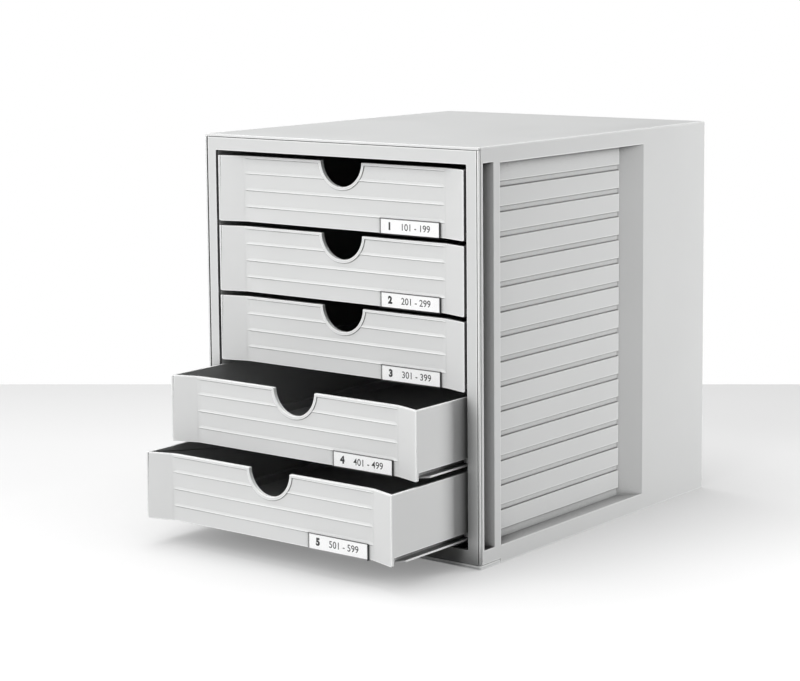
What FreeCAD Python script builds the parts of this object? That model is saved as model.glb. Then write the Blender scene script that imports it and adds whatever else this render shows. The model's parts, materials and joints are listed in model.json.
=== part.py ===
import FreeCAD, Part
import math
import os

# Desktop drawer organizer: a free-standing case of five moulded plastic panels and a
# front frame, with five shallow drawers that slide on ribs of the side panels.
# Millimetres. X is to the right, Y to the back, Z up. The origin is the middle of the
# case's footprint, on the surface that the case stands on.

V = FreeCAD.Vector

# Case, over all
case_width = 275.0
case_depth = 330.0
case_height = 320.0

# Panels of the case
stile = 11.5
side_wall = 2.5
top_t = 2.0
base_t = 3.0
back_t = 3.0
edge_lip = 1.8
seam = 0.3
shadow_gap = 0.4
edge_round = 1.2
stiffener_t = 1.5
stiffener_h = 4.0
stiffener_count = 4
upstand_t = 2.0
upstand_inset = 17.5
tab_len = 26.0
toe_h = 1.5
toe_in = 0.6

# Front frame
frame_t = 3.0
frame_edge_t = 1.6
frame_edge_w = 2.4
frame_foot_gap = 0.6
rail_bottom = 14.0
rail_top = 13.0
border_w = 1.6
border_gap_left = 1.4
border_gap_right = 0.5
border_gap_d = 1.0
opening_round = 1.0

# Finger slot in each side panel
slot_from_front = 5.4
slot_w = 13.5
slot_d = 9.0
slot_floor_w = 3.0
slot_bottom = 14.3
slot_top_margin = 12.0

# Recess in each side panel, with its slats
recess_from_front = 27.2
recess_len = 203.4
recess_d = 9.0
recess_ramp = 26.2
recess_draft = 1.0
recess_bottom = 14.0
recess_sill_rise = 2.6
recess_top_margin = 13.0
slat_count = 15
slat_gap = 4.5
slat_t = 1.5
slat_len = 177.0
slat_edge = 0.5
slat_top_gap = 0.4
slat_foot_gap = 9.1

# Pockets behind the rear zone of each side panel
pocket_rear_margin = 8.0
pocket_web = 3.0

# Drawers, with their gaps to the frame, to each other and to the back
drawer_count = 5
gap_under_lowest = 6.2
gap_over_highest = 4.1
front_gap = 3.8
drawer_side_gap = 2.5
drawer_rear_gap = 9.0
front_t = 2.8
front_hollow = 7.4
front_flare_w = 23.8
front_blend_r = 20.0
front_top_round = 2.5
front_bottom_round = 1.5
tray_wall = 2.0
tray_floor = 2.0
floor_lift = 0.3
tray_corner = 8.0
runner_step = 5.5
side_lift = 6.3
flange_t = 1.6
flange_start = 10.0
flange_chamfer = 7.0

# Finger cut-out, bead and ridges of a drawer front
notch_r = 20.6
notch_rise = 0.5
bead_w = 2.4
bead_top_h = 2.1
bead_proud = 0.7
ridge_first = 14.5
ridge_lowest = 12.0
ridge_count = 3
ridge_h = 2.2
ridge_proud = 0.6

# Label window and card
label_w = 58.0
label_right_margin = 27.2
label_t = 2.2
label_hang = 0.7
label_gap = 0.1
label_rim = 0.6
card_t = 0.4
card_play = 0.2

# Runners and stops
rib_gap_below = 0.35
rib_gap_above = 0.3
rib_gap_side = 0.8
rib_rear_margin = 8.0
closed_gap = 0.4
stop_proud = 1.7
stop_len = 4.0
stop_ramp = 8.0
stop_from_front = 60.0
stop_level = 16.0
stop_h = 14.0
nub_from_rear = 13.0
nub_len = 6.0
nub_inset = 2.0

# Anti-slip pads
pad_r = 8.0
pad_t = 1.6
pad_from_side = 22.5
pad_from_end = 20.0

# How far each drawer stands open, from the lowest one up
drawers_open = (90.0, 60.0, 0.0, 0.0, 0.0)

half_w = case_width / 2
front_y = -case_depth / 2
back_y = case_depth / 2
inner_x = half_w - stile
inlay_x = half_w - edge_lip - seam
top_z = case_height - top_t
opening_top = case_height - rail_top
half_d = inner_x - drawer_side_gap
groove_x = half_d - runner_step
drawer_len = case_depth - back_t - drawer_rear_gap
opening_h = opening_top - rail_bottom
stack_h = opening_h - gap_under_lowest - gap_over_highest
drawer_level = rail_bottom + gap_under_lowest
drawer_pitch = (stack_h + front_gap) / drawer_count
front_h = drawer_pitch - front_gap
ridge_pitch = (front_h - ridge_first - ridge_lowest) / (ridge_count - 1)
recess_h = case_height - recess_top_margin - recess_bottom
slat_pitch = (recess_h - slat_top_gap - slat_foot_gap + slat_gap) / slat_count
slat_h = slat_pitch - slat_gap


def box(x0, x1, y0, y1, z0, z1):
    """A box between two corners, with Y counted from the case's front face."""
    corner = V(x0, front_y + y0, z0)
    return Part.makeBox(x1 - x0, y1 - y0, z1 - z0, corner)


def plan_prism(points, z0, z1):
    """Upright prism on an outline of (x, distance from the front face) points."""
    wire = Part.makePolygon([V(x, front_y + y, z0) for x, y in points + points[:1]])
    return Part.Face(wire).extrude(V(0, 0, z1 - z0))


def front_prism(points, y0, y1):
    """Prism that runs back from an outline of (x, z) points."""
    wire = Part.makePolygon([V(x, front_y + y0, z) for x, z in points + points[:1]])
    return Part.Face(wire).extrude(V(0, y1 - y0, 0))


def side_prism(points, x0, x1):
    """Prism that runs across from an outline of (distance from front, z) points."""
    wire = Part.makePolygon([V(x0, front_y + y, z) for y, z in points + points[:1]])
    return Part.Face(wire).extrude(V(x1 - x0, 0, 0))


def both_sides(shape):
    """A shape and its mirror image about the middle plane."""
    return [shape, shape.mirror(V(0, 0, 0), V(1, 0, 0))]


def mirrored_points(points):
    """The right half of an outline, continued with its mirror image."""
    return points + [(-x, y) for x, y in reversed(points)]


def round_edges(shape, radius, wanted):
    """Fillet the edges for which wanted(edge) is true."""
    edges = [edge for edge in shape.Edges if wanted(edge)]
    if not edges:
        return shape
    return shape.makeFillet(radius, edges)


def is_vertical(edge):
    """True for a straight edge along Z."""
    return edge.BoundBox.XLength + edge.BoundBox.YLength < 0.01


def drawer_bottom(index):
    """Height of the lower edge of a drawer front, counted from the lowest drawer."""
    return drawer_level + index * drawer_pitch


def save(name, shape):
    """Write one node as a STEP file."""
    shape.removeSplitter().exportStep("parts/" + name + ".step")


# Side panel, made for the right side


def panel_board():
    """The plain board with its rounded outer edges and the rebates for its neighbours."""
    board = box(inner_x, half_w, frame_edge_t + shadow_gap, case_depth, 0, case_height)
    board = round_edges(
        board,
        edge_round,
        lambda e: e.BoundBox.XMin > half_w - 0.01
        and (is_vertical(e) or e.BoundBox.ZMin > case_height - 0.01),
    )
    lip_x = half_w - edge_lip
    front_step = box(inner_x, half_w - frame_edge_w, 0, frame_t, 0, case_height)
    top_step = box(inner_x, lip_x, 0, case_depth, top_z, case_height)
    base_step = box(inner_x, lip_x, 0, case_depth, 0, base_t)
    back_step = box(inner_x, lip_x, case_depth - back_t, case_depth, 0, case_height)
    tab_step = box(inner_x, half_w, 0, tab_len + shadow_gap, 0, base_t + shadow_gap)
    return board.cut([front_step, top_step, base_step, back_step, tab_step])


def finger_slot():
    """Space of the tall slot, with a square front wall and a slanted rear wall."""
    floor_x = half_w - slot_d
    rear = slot_from_front + slot_w
    outline = [
        (half_w, slot_from_front),
        (floor_x, slot_from_front),
        (floor_x, slot_from_front + slot_floor_w),
        (half_w, rear),
    ]
    return plan_prism(outline, slot_bottom, case_height - slot_top_margin)


def slat_recess():
    """Space of the recess, with its slanted rear end and sloping sill."""
    floor_x = half_w - recess_d
    rear = recess_from_front + recess_len
    outline = [
        (half_w, recess_from_front),
        (floor_x, recess_from_front + recess_draft),
        (floor_x, rear - recess_ramp),
        (half_w, rear),
    ]
    recess_top = case_height - recess_top_margin
    plan = plan_prism(outline, recess_bottom, recess_top)
    section = [
        (half_w, recess_bottom),
        (floor_x, recess_bottom + recess_sill_rise),
        (floor_x, recess_top),
        (half_w, recess_top),
    ]
    return plan.common(front_prism(section, 0, case_depth))


def slats():
    """The row of flat slats on the recess floor, each with an eased upper edge."""
    floor_x = half_w - recess_d
    face_x = floor_x + slat_t
    start = recess_from_front + recess_draft
    row = []
    for index in range(slat_count):
        top = case_height - recess_top_margin - slat_top_gap - index * slat_pitch
        bottom = top - slat_h
        section = [
            (floor_x - slat_edge, bottom),
            (face_x, bottom),
            (face_x, top - slat_edge),
            (face_x - slat_edge, top),
            (floor_x - slat_edge, top),
        ]
        row.append(front_prism(section, start, start + slat_len))
    return row


def rear_pockets():
    """Hollows on the inner side, one between each two runner levels."""
    ramp_angle = math.atan2(recess_d, recess_ramp)
    shift = side_wall / math.sin(ramp_angle)
    slope = recess_ramp / recess_d
    ramp_foot = recess_from_front + recess_len - recess_ramp
    skin_x = half_w - side_wall
    front_at_inner = ramp_foot + shift - (stile - recess_d) * slope
    front_at_skin = ramp_foot + shift + (recess_d - side_wall) * slope
    rear = case_depth - pocket_rear_margin
    outline = [
        (inner_x, front_at_inner),
        (skin_x, front_at_skin),
        (skin_x, rear),
        (inner_x, rear),
    ]
    hollows = []
    for index in range(-1, drawer_count):
        low = drawer_bottom(index) + side_lift + pocket_web
        high = drawer_bottom(index + 1) + floor_lift + flange_t - pocket_web
        low = max(low, base_t + pocket_web)
        high = min(high, top_z - pocket_web)
        hollows.append(plan_prism(outline, low, high))
    return hollows


def runner_ribs():
    """Ribs that carry the drawers, one a level, with their stops above them."""
    rib_x = groove_x + rib_gap_side
    hollow_at_rib = front_hollow * (half_d - rib_x) / front_flare_w
    start = hollow_at_rib + front_t + closed_gap
    ribs = []
    for index in range(drawer_count):
        level = drawer_bottom(index)
        low = level + floor_lift + flange_t + rib_gap_below
        high = level + side_lift - rib_gap_above
        ribs.append(box(rib_x, inner_x, start, case_depth - rib_rear_margin, low, high))
        stop_end = stop_from_front + stop_len
        wedge = [
            (inner_x, stop_from_front - stop_ramp),
            (inner_x - stop_proud, stop_from_front),
            (inner_x - stop_proud, stop_end),
            (inner_x, stop_end),
        ]
        ribs.append(plan_prism(wedge, level + stop_level, level + stop_level + stop_h))
    return ribs


def side_panel():
    """One side panel, for the right side."""
    panel = panel_board().cut([finger_slot(), slat_recess()] + rear_pockets())
    return panel.fuse(slats() + runner_ribs())


# Front frame, top, base and back


def front_frame():
    """Plate around the drawers, thicker inside its rim, with a gap down each side.

    The left gap is the wider one, as in the photograph.
    """
    low = base_t + frame_foot_gap
    high = top_z - shadow_gap
    core_x = half_w - frame_edge_w
    rim = box(-half_w, half_w, 0, frame_edge_t, low, high)
    core = box(-core_x, core_x, 0, frame_t, low, high)
    frame = rim.fuse(core)
    opening = box(-inner_x, inner_x, 0, frame_t, rail_bottom, opening_top)
    opening = round_edges(opening, opening_round, lambda e: e.BoundBox.YLength > frame_t - 0.1)
    border_x = half_w - border_w
    left_gap = box(-border_x, border_gap_left - border_x, 0, border_gap_d, low, high)
    right_gap = box(border_x - border_gap_right, border_x, 0, border_gap_d, low, high)
    return frame.cut([opening, left_gap, right_gap])


def stiffeners(z0, z1):
    """Ribs along the case, evenly spaced between the side panels."""
    spacing = 2 * inner_x / stiffener_count
    ribs = []
    for index in range(stiffener_count):
        x = -inner_x + (index + 0.5) * spacing - stiffener_t / 2
        start = frame_t + upstand_t
        ribs.append(box(x, x + stiffener_t, start, case_depth - back_t, z0, z1))
    return ribs


def top_panel():
    """Board inlaid between the side panels, with a lip over the front frame."""
    lip = box(-half_w, half_w, 0, frame_edge_t, top_z, case_height)
    lip = round_edges(lip, edge_round / 2, lambda e: is_vertical(e) and e.Vertexes[0].Y < front_y + 0.01)
    plate = box(-inlay_x, inlay_x, 0, case_depth, top_z, case_height)
    wall_x = half_w - upstand_inset
    wall = box(-wall_x, wall_x, frame_t, frame_t + upstand_t, opening_top + 1, top_z)
    return plate.fuse([lip, wall] + stiffeners(top_z - stiffener_h, top_z))


def pad_places():
    """Centres of the four anti-slip pads."""
    x = half_w - pad_from_side
    y = case_depth / 2 - pad_from_end
    return [(-x, -y), (x, -y), (-x, y), (x, y)]


def base_panel():
    """Board inlaid between the side panels, with a front lip and two corner tabs."""
    plate = box(-inlay_x, inlay_x, 0, case_depth, 0, base_t)
    lip = box(-half_w, half_w, 0, tab_len, 0, base_t)
    wall_x = half_w - upstand_inset
    wall = box(-wall_x, wall_x, frame_t, frame_t + upstand_t, base_t, rail_bottom - 1)
    base = plate.fuse([lip, wall] + stiffeners(base_t, base_t + stiffener_h))
    toe = box(-half_w, half_w, 0, toe_in, 0, toe_h)
    pockets = [Part.makeCylinder(pad_r, pad_t, V(x, y, 0)) for x, y in pad_places()]
    return base.cut([toe] + pockets)


def back_panel():
    """Plain board that closes the case."""
    return box(-inlay_x, inlay_x, case_depth - back_t, case_depth, base_t, top_z)


def foot_pads():
    """Four round pads, flush in their pockets."""
    pads = [Part.makeCylinder(pad_r, pad_t, V(x, y, 0)) for x, y in pad_places()]
    return Part.makeCompound(pads)


# Drawers, made closed at their level and then slid open


def front_plan(offset):
    """Right half of the concave face, moved back by an offset."""
    return [(half_d, offset), (half_d - front_flare_w, front_hollow + offset)]


def front_plate(level):
    """Concave plate with rounded corners and a half-round finger cut-out."""
    face = mirrored_points(front_plan(0))
    rear = mirrored_points(front_plan(front_t))
    plate = plan_prism(face + rear[::-1], level, level + front_h)
    bend = half_d - front_flare_w + 0.1
    plate = round_edges(
        plate,
        front_blend_r,
        lambda e: is_vertical(e) and e.BoundBox.XMax < bend and e.BoundBox.XMin > -bend,
    )
    outline = box(-half_d, half_d, 0, front_hollow + front_t, level, level + front_h)
    top = level + front_h
    outline = round_edges(
        outline,
        front_top_round,
        lambda e: e.BoundBox.YLength > front_t and e.BoundBox.ZMin > top - 0.01,
    )
    outline = round_edges(
        outline,
        front_bottom_round,
        lambda e: e.BoundBox.YLength > front_t and e.BoundBox.ZMax < level + 0.01,
    )
    return plate.common(outline)


def front_trim(level):
    """Bead along the upper edge and round the cut-out, and the fine ridges."""
    top = level + front_h
    flat_x = half_d - front_flare_w
    bead_x = flat_x + front_flare_w * bead_proud / front_hollow
    face = front_hollow
    trim = [box(-bead_x, bead_x, face - bead_proud, face + front_t / 2, top - bead_top_h, top)]
    bead_r = notch_r + bead_w
    centre = V(0, front_y + face - bead_proud, top + notch_rise)
    disc = Part.makeCylinder(bead_r, bead_proud + front_t / 2, centre, V(0, 1, 0))
    trim.append(disc.common(box(-bead_r, bead_r, 0, case_depth, level, top)))
    for index in range(ridge_count):
        z = top - ridge_first - index * ridge_pitch
        section = [
            (face - ridge_proud, z),
            (face, z + ridge_h),
            (face + front_t / 2, z + ridge_h),
            (face + front_t / 2, z),
        ]
        ridge_x = flat_x + front_flare_w * ridge_proud / front_hollow
        trim.append(side_prism(section, -ridge_x, ridge_x))
    return trim


def finger_notch(level):
    """Space of the half-round cut-out."""
    top = level + front_h
    centre = V(0, front_y - 1, top + notch_rise)
    return Part.makeCylinder(notch_r, front_hollow + front_t + 2, centre, V(0, 1, 0))


def rounded_plan(half_width, y1, radius, z0, z1):
    """Block from the front face back to y1, with its two rear corners rounded."""
    block = box(-half_width, half_width, 0, y1, z0, z1)
    rear = front_y + y1 - 0.01
    return round_edges(block, radius, lambda e: is_vertical(e) and e.BoundBox.YMin > rear)


def tray(level):
    """Floor and walls, stepped in above the flange so that a rib fits the groove."""
    low = level + floor_lift
    top = level + front_h
    shelf = level + side_lift
    outer = mirrored_points([(groove_x, low), (groove_x, shelf), (half_d, shelf), (half_d, top)])
    inner_floor_x = groove_x - tray_wall
    inner_side_x = half_d - tray_wall
    inner_shelf = shelf + tray_wall
    inner = mirrored_points(
        [
            (inner_floor_x, low + tray_floor),
            (inner_floor_x, inner_shelf),
            (inner_side_x, inner_shelf),
            (inner_side_x, top),
        ]
    )
    shell = front_prism(outer, 0, drawer_len)
    shell = shell.common(rounded_plan(half_d, drawer_len, tray_corner, low, top))
    rear = drawer_len - tray_wall
    space = front_prism(inner, 0, rear)
    space = space.common(
        rounded_plan(inner_side_x, rear, tray_corner - tray_wall, low, top)
    )
    return shell.cut(space)


def bottom_flanges(level):
    """Thin flanges under the runner grooves, cut back behind the front."""
    low = level + floor_lift
    outline = [
        (groove_x - tray_wall, flange_start),
        (groove_x, flange_start),
        (half_d, flange_start + flange_chamfer),
        (half_d, drawer_len - tray_corner),
        (groove_x, drawer_len - tray_corner / 2),
        (groove_x - tray_wall, drawer_len - tray_corner / 2),
    ]
    return both_sides(plan_prism(outline, low, low + flange_t))


def stop_nubs(level):
    """Small wedges on the rear of the side walls that end the drawer's travel."""
    start = drawer_len - nub_from_rear
    wedge = [
        (half_d - tray_wall / 2, start),
        (half_d + stop_proud, start),
        (half_d + stop_proud, start + nub_len / 3),
        (half_d, start + nub_len),
        (half_d - tray_wall / 2, start + nub_len),
    ]
    low = level + stop_level + nub_inset
    return both_sides(plan_prism(wedge, low, low + stop_h - 2 * nub_inset))


def drawer(level):
    """One drawer moulding, closed."""
    before_face = mirrored_points(front_plan(0)) + [(-half_d, -1), (half_d, -1)]
    body = tray(level).cut(plan_prism(before_face, level - 1, level + front_h + 1))
    body = body.fuse([front_plate(level)] + bottom_flanges(level) + stop_nubs(level))
    body = body.fuse(front_trim(level))
    return body.cut(finger_notch(level))


def label_box(level, inset, y0, y1):
    """Box behind the label's outline, smaller by an inset on every side."""
    right = half_d - label_right_margin
    top = level + front_h - ridge_first - (ridge_count - 1) * ridge_pitch - label_gap
    x0 = right - label_w + inset
    return box(x0, right - inset, y0, y1, level - label_hang + inset, top - inset)


def label_window(level):
    """Clear window with a pocket for the card and a lip under the front's lower edge."""
    face = front_hollow
    window = label_box(level, 0, face - label_t, face)
    window = round_edges(window, label_gap * 4, lambda e: e.BoundBox.YMax < front_y + face - label_t + 0.01)
    pocket = label_box(level, label_rim, face - card_t - card_play, face)
    right = half_d - label_right_margin
    lip = box(right - label_w, right, face, face + front_t, level - label_hang, level)
    return window.cut(pocket).fuse(lip)


def label_card(level):
    """Card that lies in the window's pocket against the drawer front."""
    return label_box(level, label_rim + card_play, front_hollow - card_t, front_hollow)


def drawer_pieces(index):
    """The nodes of one drawer, slid open as far as it stands."""
    level = drawer_bottom(index)
    number = str(drawer_count - index)
    pieces = {
        "drawer_" + number: drawer(level),
        "label_window_" + number: label_window(level),
        "label_card_" + number: label_card(level),
    }
    for shape in pieces.values():
        shape.translate(V(0, -drawers_open[index], 0))
    return pieces


def main():
    os.makedirs("parts", exist_ok=True)
    right_panel = side_panel()
    nodes = {
        "right_side_panel": right_panel,
        "left_side_panel": right_panel.mirror(V(0, 0, 0), V(1, 0, 0)),
        "front_frame": front_frame(),
        "top_panel": top_panel(),
        "base_panel": base_panel(),
        "back_panel": back_panel(),
        "foot_pads": foot_pads(),
    }
    for index in range(drawer_count):
        nodes.update(drawer_pieces(index))
    for name, shape in nodes.items():
        save(name, shape)


main()
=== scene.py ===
import json
import math

import bmesh
import bpy
from mathutils import Matrix, Vector

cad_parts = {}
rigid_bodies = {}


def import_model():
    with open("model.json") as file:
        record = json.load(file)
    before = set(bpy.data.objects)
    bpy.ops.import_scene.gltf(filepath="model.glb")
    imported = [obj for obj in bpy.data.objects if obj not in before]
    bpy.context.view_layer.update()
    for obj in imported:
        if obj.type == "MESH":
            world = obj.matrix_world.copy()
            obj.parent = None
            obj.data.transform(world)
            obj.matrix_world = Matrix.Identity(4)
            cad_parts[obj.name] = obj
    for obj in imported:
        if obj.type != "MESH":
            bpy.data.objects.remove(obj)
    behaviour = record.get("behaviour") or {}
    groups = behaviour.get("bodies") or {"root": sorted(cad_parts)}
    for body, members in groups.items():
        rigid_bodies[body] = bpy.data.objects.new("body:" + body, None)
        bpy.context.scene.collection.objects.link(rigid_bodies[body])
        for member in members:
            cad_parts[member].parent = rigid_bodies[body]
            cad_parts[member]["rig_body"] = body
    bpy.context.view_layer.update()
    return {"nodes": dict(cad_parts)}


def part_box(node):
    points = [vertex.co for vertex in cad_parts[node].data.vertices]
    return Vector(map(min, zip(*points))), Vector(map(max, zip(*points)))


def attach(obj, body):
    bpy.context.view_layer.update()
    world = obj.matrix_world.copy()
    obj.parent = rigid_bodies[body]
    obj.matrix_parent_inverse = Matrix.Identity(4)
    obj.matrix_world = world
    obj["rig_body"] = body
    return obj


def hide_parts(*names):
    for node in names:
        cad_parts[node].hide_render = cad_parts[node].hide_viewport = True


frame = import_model()


# Camera: right of the front and a little above, with the lens shifted a little, so
# that the upright edges stay nearly upright in the picture.

camera_data = bpy.data.cameras.new("camera")
camera_data.sensor_width = 36.0
camera_data.lens = 97.74
camera_data.shift_y = -0.1256
camera_data.clip_end = 50.0
camera = bpy.data.objects.new("camera", camera_data)
bpy.context.scene.collection.objects.link(camera)
camera_turn = math.radians(38.065)
camera_tilt = math.radians(90 - 7.06)
camera_roll = math.radians(-0.51)
camera_place = Vector((1.0756, -1.4577, 0.4497))
look = Matrix.Rotation(camera_turn, 4, "Z") @ Matrix.Rotation(camera_tilt, 4, "X")
camera.matrix_world = Matrix.Translation(camera_place) @ look @ Matrix.Rotation(camera_roll, 4, "Z")
bpy.context.scene.camera = camera


# Case: moulded polystyrene, light grey and satin, with the fine spark grain of the
# mould and a hardly visible unevenness of colour. Its panels have eased corners;
# painted shade darkens its creases and hollows, and a painted highlight lightens its rims.


def moulded_plastic(name, colour, rough=0.36, grain=0.00004, painted_light=()):
    """Satin polystyrene with fine grain, on object coordinates.

    Each row paints light into the colour near other faces: painted shade that
    darkens, or a painted highlight that lightens. It says whether it looks inside the
    solid, whether it sees this piece only, how far it looks, how open a place is
    where it ends, and by what it scales the colour where it is full.
    """
    material = bpy.data.materials.new(name)
    material.use_nodes = True
    nodes = material.node_tree.nodes
    links = material.node_tree.links
    shader = nodes["Principled BSDF"]
    shader.inputs["Specular IOR Level"].default_value = 0.4
    place = nodes.new("ShaderNodeTexCoord")
    cloud = nodes.new("ShaderNodeTexNoise")
    cloud.inputs["Scale"].default_value = 14.0
    cloud.inputs["Detail"].default_value = 3.0
    links.new(place.outputs["Object"], cloud.inputs["Vector"])
    tone = nodes.new("ShaderNodeValToRGB")
    tone.color_ramp.elements[0].position = 0.3
    tone.color_ramp.elements[1].position = 0.7
    tone.color_ramp.elements[0].color = [c * 0.985 for c in colour] + [1.0]
    tone.color_ramp.elements[1].color = [min(1.0, c * 1.01) for c in colour] + [1.0]
    links.new(cloud.outputs["Fac"], tone.inputs["Fac"])
    paint = tone.outputs["Color"]
    half_open = 0.5
    # Painted light: each row scales the colour by ambient occlusion, darker for painted shade and
    # lighter for a painted highlight.
    for inside, alone, reach, end, gain in painted_light:
        near = nodes.new("ShaderNodeAmbientOcclusion")
        near.inside = inside
        near.only_local = alone
        near.samples = 6
        near.inputs["Distance"].default_value = reach
        near_range = nodes.new("ShaderNodeMapRange")
        near_range.inputs["From Min"].default_value = half_open
        near_range.inputs["From Max"].default_value = end
        near_range.inputs["To Min"].default_value = gain
        links.new(near.outputs["AO"], near_range.inputs["Value"])
        near_paint = nodes.new("ShaderNodeVectorMath")
        near_paint.operation = "SCALE"
        links.new(paint, near_paint.inputs[0])
        links.new(near_range.outputs["Result"], near_paint.inputs["Scale"])
        paint = near_paint.outputs["Vector"]
    links.new(paint, shader.inputs["Base Color"])
    sheen = nodes.new("ShaderNodeMapRange")
    sheen.inputs["To Min"].default_value = rough - 0.03
    sheen.inputs["To Max"].default_value = rough + 0.05
    links.new(cloud.outputs["Fac"], sheen.inputs["Value"])
    links.new(sheen.outputs["Result"], shader.inputs["Roughness"])
    sparks = nodes.new("ShaderNodeTexNoise")
    sparks.inputs["Scale"].default_value = 1600.0
    sparks.inputs["Detail"].default_value = 2.0
    links.new(place.outputs["Object"], sparks.inputs["Vector"])
    bump = nodes.new("ShaderNodeBump")
    bump.inputs["Strength"].default_value = 0.25
    bump.inputs["Distance"].default_value = grain
    links.new(sparks.outputs["Fac"], bump.inputs["Height"])
    links.new(bump.outputs["Normal"], shader.inputs["Normal"])
    return material


# Painted highlight: near convex rims the colour is scaled up, so the rims look lit.
painted_rim_highlight = (True, True, 0.0012, 1.0, 1.45)
case_grey = (0.66, 0.665, 0.662)
# Painted shade: the first row darkens creases and the last row darkens hollows; the middle row is
# the painted rim highlight.
case_painted_light = (
    (False, True, 0.001, 1.0, 0.6),
    painted_rim_highlight,
    (False, True, 0.03, 0.85, 0.1),
)
# The frame's copy of the same plastic also paints shade where the drawers and the floor come near
# it.
frame_painted_light = (
    (False, False, 0.001, 1.0, 0.4),
    painted_rim_highlight,
    (False, False, 0.022, 1.0, 0.2),
)
case_plastic = moulded_plastic("case_plastic", case_grey, painted_light=case_painted_light)
frame_plastic = moulded_plastic("frame_plastic", case_grey, painted_light=frame_painted_light)


def eased_moulding(node, corner, material, inside=None, inside_material=None):
    """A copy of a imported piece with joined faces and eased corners, standing for it."""
    weld = 0.000002
    flat_angle = 0.5
    hard_angle = 35
    soft_angle = 15
    wide_face = 0.0001
    full_width = 0.0015
    bend_angle = 4
    source = frame["nodes"][node].data
    points = [vertex.co[:] for vertex in source.vertices]
    faces = [tuple(face.vertices) for face in source.polygons]
    mesh = bpy.data.meshes.new(node + "_eased")
    mesh.from_pydata(points, [], faces)
    work = bmesh.new()
    work.from_mesh(mesh)
    bmesh.ops.remove_doubles(work, verts=work.verts, dist=weld)
    bmesh.ops.dissolve_limit(
        work,
        angle_limit=math.radians(flat_angle),
        verts=work.verts,
        edges=work.edges,
        delimit={"NORMAL"},
    )
    for face in work.faces:
        face.smooth = True
        if inside and inside(face.calc_center_median(), face.normal):
            face.material_index = 1
    weight = work.edges.layers.float.new("bevel_weight_edge")
    for edge in work.edges:
        angle = math.degrees(edge.calc_face_angle(0))
        areas = [face.calc_area() for face in edge.link_faces]
        if angle > hard_angle or (angle > soft_angle and min(areas) > wide_face):
            width = min(areas) / edge.calc_length()
            edge[weight] = min(1.0, max(0.3, width / full_width))
        ridge = any(
            face.normal[1] < -0.9 and 0.1 < face.normal[2] < 0.5 for face in edge.link_faces
        )
        edge.smooth = angle < bend_angle or not ridge
    work.to_mesh(mesh)
    work.free()
    mesh.materials.append(material)
    if inside_material:
        mesh.materials.append(inside_material)
    piece = bpy.data.objects.new(node + "_eased", mesh)
    bpy.context.scene.collection.objects.link(piece)
    ease = piece.modifiers.new("eased_corners", "BEVEL")
    ease.width = corner
    ease.segments = 2
    ease.limit_method = "WEIGHT"
    ease.use_clamp_overlap = False
    even = piece.modifiers.new("even_normals", "WEIGHTED_NORMAL")
    even.mode = "FACE_AREA"
    even.weight = 100
    even.thresh = 0.001
    even.keep_sharp = True
    body = frame["nodes"][node]["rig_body"]
    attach(piece, body)
    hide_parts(node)
    return piece


moulded_corner = 0.0003
for panel in (
    "right_side_panel",
    "left_side_panel",
    "top_panel",
    "base_panel",
    "back_panel",
):
    eased_moulding(panel, moulded_corner, case_plastic)
eased_moulding("front_frame", moulded_corner, frame_plastic)


# Anti-slip pads: round rubber discs, glued flush into pockets of the base, with low
# studs in rings on the face that touches the desk.

pad_x = 0.115
pad_y = 0.145
stud_radius = 0.0006
stud_tip_radius = 0.0003
stud_depth = 0.0001
stud_level = -0.00001
pad_rubber = moulded_plastic("pad_rubber", (0.03, 0.03, 0.03), 0.8, 0.0002)
pads = frame["nodes"]["foot_pads"]
pads.data.materials.clear()
pads.data.materials.append(pad_rubber)

studs_tree = bpy.data.node_groups.new("ring_of_studs", "GeometryNodeTree")
studs_tree.interface.new_socket("Geometry", in_out="OUTPUT", socket_type="NodeSocketGeometry")
studs_names = {}
for label, kind in (
    ("Count", "NodeSocketInt"),
    ("Ring", "NodeSocketFloat"),
    ("Stud", "NodeSocketFloat"),
):
    socket = studs_tree.interface.new_socket(label, in_out="INPUT", socket_type=kind)
    studs_names[label] = socket.identifier
studs_in = studs_tree.nodes.new("NodeGroupInput")
studs_out = studs_tree.nodes.new("NodeGroupOutput")
studs_ring = studs_tree.nodes.new("GeometryNodeMeshCircle")
studs_cone = studs_tree.nodes.new("GeometryNodeMeshCone")
studs_cone.inputs["Vertices"].default_value = 10
studs_cone.inputs["Radius Top"].default_value = stud_tip_radius
studs_cone.inputs["Depth"].default_value = stud_depth
studs_place = studs_tree.nodes.new("GeometryNodeInstanceOnPoints")
studs_real = studs_tree.nodes.new("GeometryNodeRealizeInstances")
studs_paint = studs_tree.nodes.new("GeometryNodeSetMaterial")
studs_paint.inputs["Material"].default_value = pad_rubber
studs_tree.links.new(studs_in.outputs["Count"], studs_ring.inputs["Vertices"])
studs_tree.links.new(studs_in.outputs["Ring"], studs_ring.inputs["Radius"])
studs_tree.links.new(studs_in.outputs["Stud"], studs_cone.inputs["Radius Bottom"])
studs_tree.links.new(studs_ring.outputs[0], studs_place.inputs["Points"])
studs_tree.links.new(studs_cone.outputs[0], studs_place.inputs["Instance"])
studs_tree.links.new(studs_place.outputs[0], studs_real.inputs[0])
studs_tree.links.new(studs_real.outputs[0], studs_paint.inputs["Geometry"])
studs_tree.links.new(studs_paint.outputs[0], studs_out.inputs["Geometry"])

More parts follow.
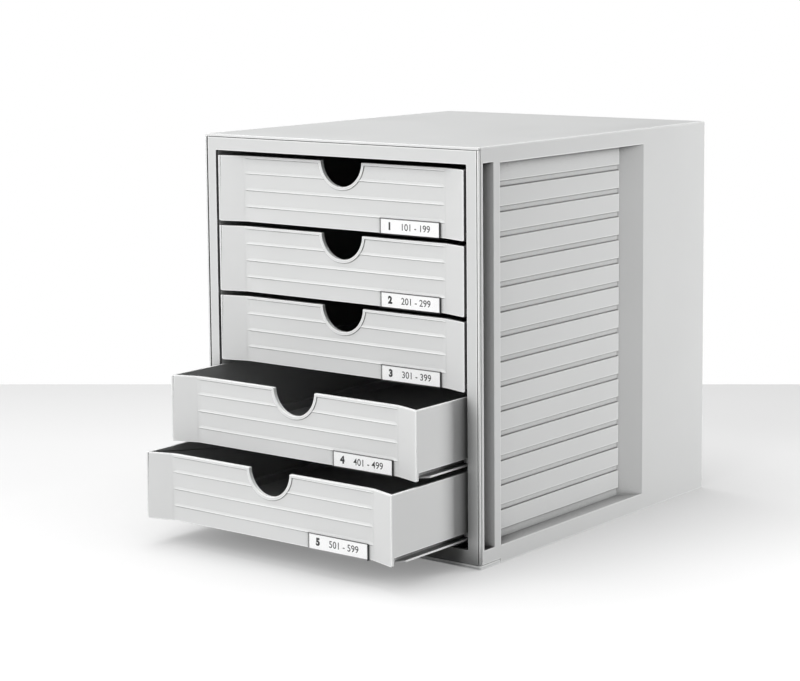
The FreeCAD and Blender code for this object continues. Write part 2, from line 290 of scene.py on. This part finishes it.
for corner_x in (-pad_x, pad_x):
    for corner_y in (-pad_y, pad_y):
        for ring, count in ((0.0022, 6), (0.0044, 12), (0.0066, 18)):
            name = f"pad_studs_{corner_x}_{corner_y}_{count}"
            maker = bpy.data.objects.new(name + "_maker", bpy.data.meshes.new(name + "_source"))
            bpy.context.scene.collection.objects.link(maker)
            studs = maker.modifiers.new("studs", "NODES")
            studs.node_group = studs_tree
            studs[studs_names["Count"]] = count
            studs[studs_names["Ring"]] = ring
            studs[studs_names["Stud"]] = stud_radius
            bpy.context.view_layer.update()
            evaluated = maker.evaluated_get(bpy.context.evaluated_depsgraph_get())
            studs_mesh = bpy.data.meshes.new_from_object(evaluated)
            bpy.data.objects.remove(maker)
            studs_mesh.transform(Matrix.Rotation(math.radians(180), 4, "X"))
            studs_mesh.transform(Matrix.Translation((corner_x, corner_y, stud_level)))
            stud_ring = bpy.data.objects.new(name, studs_mesh)
            bpy.context.scene.collection.objects.link(stud_ring)
            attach(stud_ring, "case")


# Drawers: one moulding each, light grey outside and coloured a darker grey in the
# tray's hollow. The hollow is told by its place, so that the flared front and the
# cut-out keep the light grey.

# The drawers get the same painted shade in creases and hollows and painted rim highlight, with
# shade also painted where the frame and other drawers come near.
drawer_painted_light = (
    (False, False, 0.001, 1.0, 0.4),
    painted_rim_highlight,
    (False, False, 0.022, 0.85, 0.3),
)
drawer_plastic = moulded_plastic("drawer_plastic", (0.69, 0.695, 0.692), painted_light=drawer_painted_light)
drawer_hollow_darker = moulded_plastic("drawer_hollow_darker", (0.33, 0.334, 0.336), 0.5)
drawer_numbers = (1, 2, 3, 4, 5)
tray_floor_up = 0.0023
tray_step_up = 0.0083
tray_wall_back = 0.0019
half_under_step = 0.1161
half_over_step = 0.1216
flare_from = 0.1014
flare_slope = 7.4 / 23.8
front_thick = 0.0101
notch_thick = 0.0109

for number in drawer_numbers:
    low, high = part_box(f"drawer_{number}")
    front_y = low[1]
    rear_y = high[1]
    floor_z = low[2] + tray_floor_up
    shelf_z = low[2] + tray_step_up
    rim_z = high[2]

    def is_inside(centre, normal):
        """True for the faces of the tray's hollow."""
        x = abs(centre[0])
        if centre[2] > rim_z - 0.0002 or centre[1] > rear_y - tray_wall_back:
            return False
        if centre[2] < shelf_z - 0.0001:
            wide = x < half_under_step
        else:
            wide = x < half_over_step
        flare = max(0.0, x - flare_from) * flare_slope
        deep = centre[1] > front_y + front_thick - flare
        notch = normal[1] ** 2 < 0.01 and centre[1] < front_y + notch_thick
        return wide and deep and centre[2] > floor_z - 0.0001 and not notch

    eased_moulding(
        f"drawer_{number}",
        moulded_corner,
        drawer_plastic,
        is_inside,
        drawer_hollow_darker,
    )


# Label cards: white card behind each window, with the drawer's number in bold at the
# left and a plain range of numbers beside it.

ink_over_card = 0.00003
ink_foot = 0.0032
card_white = moulded_plastic("card_white", (0.97, 0.97, 0.97), 0.7)
card_ink = moulded_plastic("card_ink", (0.012, 0.012, 0.012), 0.6)

for number in drawer_numbers:
    card = frame["nodes"][f"label_card_{number}"]
    card.data.materials.clear()
    card.data.materials.append(card_white)
    low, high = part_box(f"label_card_{number}")
    ink_y = low[1] - ink_over_card

    for name, words, size, bold, x in (
        ("numeral", str(number), 0.0076, 0.00048, 0.0085),
        ("range", f"{number}01 - {number}99", 0.0074, 0.00006, 0.0335),
    ):
        text = bpy.data.curves.new(f"card_{name}_{number}", "FONT")
        text.body = words
        text.size = size
        text.offset = bold
        text.align_x = "CENTER"
        text_maker = bpy.data.objects.new(f"card_{name}_maker_{number}", text)
        bpy.context.scene.collection.objects.link(text_maker)
        bpy.context.view_layer.update()
        evaluated = text_maker.evaluated_get(bpy.context.evaluated_depsgraph_get())
        ink_mesh = bpy.data.meshes.new_from_object(evaluated)
        bpy.data.objects.remove(text_maker)
        ink_mesh.transform(Matrix.Rotation(math.radians(90), 4, "X"))
        ink_mesh.transform(Matrix.Translation((low[0] + x, ink_y, low[2] + ink_foot)))
        ink_mesh.materials.clear()
        ink_mesh.materials.append(card_ink)
        ink = bpy.data.objects.new(f"card_{name}_{number}", ink_mesh)
        bpy.context.scene.collection.objects.link(ink)
        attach(ink, f"drawer_{number}_body")


# Label windows: clear polished plastic over each card. Its right end is painted dark
# grey, a painted reflection that stands for the dark look a clear edge takes from what lies beside
# it.

window_clear = bpy.data.materials.new("window_clear")
window_clear.use_nodes = True
clear = window_clear.node_tree.nodes["Principled BSDF"]
clear.inputs["Base Color"].default_value = (0.95, 0.96, 0.97, 1)
clear.inputs["Roughness"].default_value = 0.06
clear.inputs["Alpha"].default_value = 0.03
# Painted reflection: the windows' right ends are coloured dark.
painted_dark_window_end = moulded_plastic("painted_dark_window_end", (0.075, 0.077, 0.08), 0.2)
window_corner = 0.0001


def is_window_end(centre, normal):
    """True for the right end of a label window, which is painted dark."""
    return normal[0] > 0.9


for number in drawer_numbers:
    eased_moulding(
        f"label_window_{number}",
        window_corner,
        window_clear,
        is_window_end,
        painted_dark_window_end,
    )


# Floor: pale grey at its far edge and white from the object's front on, with a soft
# shadow close to the object, partly cast by the lamps and partly painted shadow that
# dims its glow. Only the camera sees it as bright as that.

floor_half = 4
floor_deep = 7
floor_mesh = bpy.data.meshes.new("floor")
floor_mesh.from_pydata(
    [
        (-floor_half, -floor_deep, 0),
        (floor_half, -floor_deep, 0),
        (floor_half, 0, 0),
        (-floor_half, 0, 0),
    ],
    [],
    [(0, 1, 2, 3)],
)
floor = bpy.data.objects.new("floor", floor_mesh)
bpy.context.scene.collection.objects.link(floor)
floor.location = (-0.3755, 0.3835, 0)
floor.rotation_euler = (0, 0, math.radians(35.36))
floor_paint = bpy.data.materials.new("floor_paint")
floor_paint.use_nodes = True
floor_nodes = floor_paint.node_tree.nodes
floor_links = floor_paint.node_tree.links
floor_place = floor_nodes.new("ShaderNodeTexCoord")
floor_split = floor_nodes.new("ShaderNodeSeparateXYZ")
floor_links.new(floor_place.outputs["Object"], floor_split.inputs["Vector"])
floor_fade = floor_nodes.new("ShaderNodeMapRange")
floor_fade.inputs["From Min"].default_value = -0.85
floor_fade.inputs["From Max"].default_value = 0.0
floor_fade.inputs["To Min"].default_value = 0.66
floor_fade.inputs["To Max"].default_value = 0.38
floor_links.new(floor_split.outputs["Y"], floor_fade.inputs["Value"])
# Painted shadow: the floor's glow is dimmed where the object is near.
floor_near = floor_nodes.new("ShaderNodeAmbientOcclusion")
floor_near.inputs["Distance"].default_value = 0.2
floor_near.samples = 16
floor_painted_shadow = floor_nodes.new("ShaderNodeMapRange")
floor_painted_shadow.inputs["To Min"].default_value = 0.35
floor_links.new(floor_near.outputs["AO"], floor_painted_shadow.inputs["Value"])
floor_glow = floor_nodes.new("ShaderNodeMath")
floor_glow.operation = "MULTIPLY"
floor_links.new(floor_fade.outputs["Result"], floor_glow.inputs[0])
floor_links.new(floor_painted_shadow.outputs["Result"], floor_glow.inputs[1])
floor_shader = floor_nodes["Principled BSDF"]
floor_shader.inputs["Base Color"].default_value = (0.32, 0.32, 0.32, 1)
floor_shader.inputs["Roughness"].default_value = 0.9
floor_shader.inputs["Specular IOR Level"].default_value = 0.0
floor_shader.inputs["Emission Color"].default_value = (1, 1, 1, 1)
floor_links.new(floor_glow.outputs[0], floor_shader.inputs["Emission Strength"])
floor_dim = floor_nodes.new("ShaderNodeBsdfDiffuse")
floor_dim.inputs["Color"].default_value = (0.4, 0.4, 0.4, 1)
floor_path = floor_nodes.new("ShaderNodeLightPath")
floor_mix = floor_nodes.new("ShaderNodeMixShader")
floor_links.new(floor_path.outputs["Is Camera Ray"], floor_mix.inputs[0])
floor_links.new(floor_dim.outputs[0], floor_mix.inputs[1])
floor_links.new(floor_shader.outputs[0], floor_mix.inputs[2])
floor_links.new(floor_mix.outputs[0], floor_nodes["Material Output"].inputs["Surface"])
floor_mesh.materials.append(floor_paint)


# Surround: white where the camera sees it, and a dim fill for everything else, also in
# what the plastic reflects.

world = bpy.data.worlds.new("surround")
bpy.context.scene.world = world
world.use_nodes = True
world_nodes = world.node_tree.nodes
world_links = world.node_tree.links
surround_fill = world_nodes["Background"]
surround_fill.inputs["Color"].default_value = (1, 1, 1, 1)
surround_fill.inputs["Strength"].default_value = 0.06
surround_white = world_nodes.new("ShaderNodeBackground")
surround_white.inputs["Color"].default_value = (1, 1, 1, 1)
surround_white.inputs["Strength"].default_value = 1.0
surround_path = world_nodes.new("ShaderNodeLightPath")
surround_mix = world_nodes.new("ShaderNodeMixShader")
world_links.new(surround_path.outputs["Is Camera Ray"], surround_mix.inputs[0])
world_links.new(surround_fill.outputs[0], surround_mix.inputs[1])
world_links.new(surround_white.outputs[0], surround_mix.inputs[2])
world_links.new(surround_mix.outputs[0], world_nodes["World Output"].inputs["Surface"])


# Lamps: a large soft one before the left corner, one behind the right side, one above
# and a weak one at the left. The two low ones leave no mirror image on the plastic.

lamp_target = Vector((0, 0, 0.16))
for name, place, size, power in (
    ("lamp_front", (-0.3, -1.76, 1.2), 2.0, 44.0),
    ("lamp_rear_right", (1.5, 1.8, 0.45), 1.0, 64.0),
    ("lamp_above", (-0.4, 0.0, 1.9), 1.2, 25.0),
    ("lamp_left", (-1.9, 0.2, 0.6), 1.2, 14.0),
):
    lamp_data = bpy.data.lights.new(name, "AREA")
    lamp_data.shape = "SQUARE"
    lamp_data.size = size
    lamp_data.energy = power
    lamp = bpy.data.objects.new(name, lamp_data)
    bpy.context.scene.collection.objects.link(lamp)
    lamp.location = place
    aim = lamp_target - Vector(place)
    lamp.rotation_euler = aim.to_track_quat("-Z", "Y").to_euler()
    lamp.visible_glossy = name in ("lamp_front", "lamp_above")

bpy.context.scene.view_settings.view_transform = "Standard"
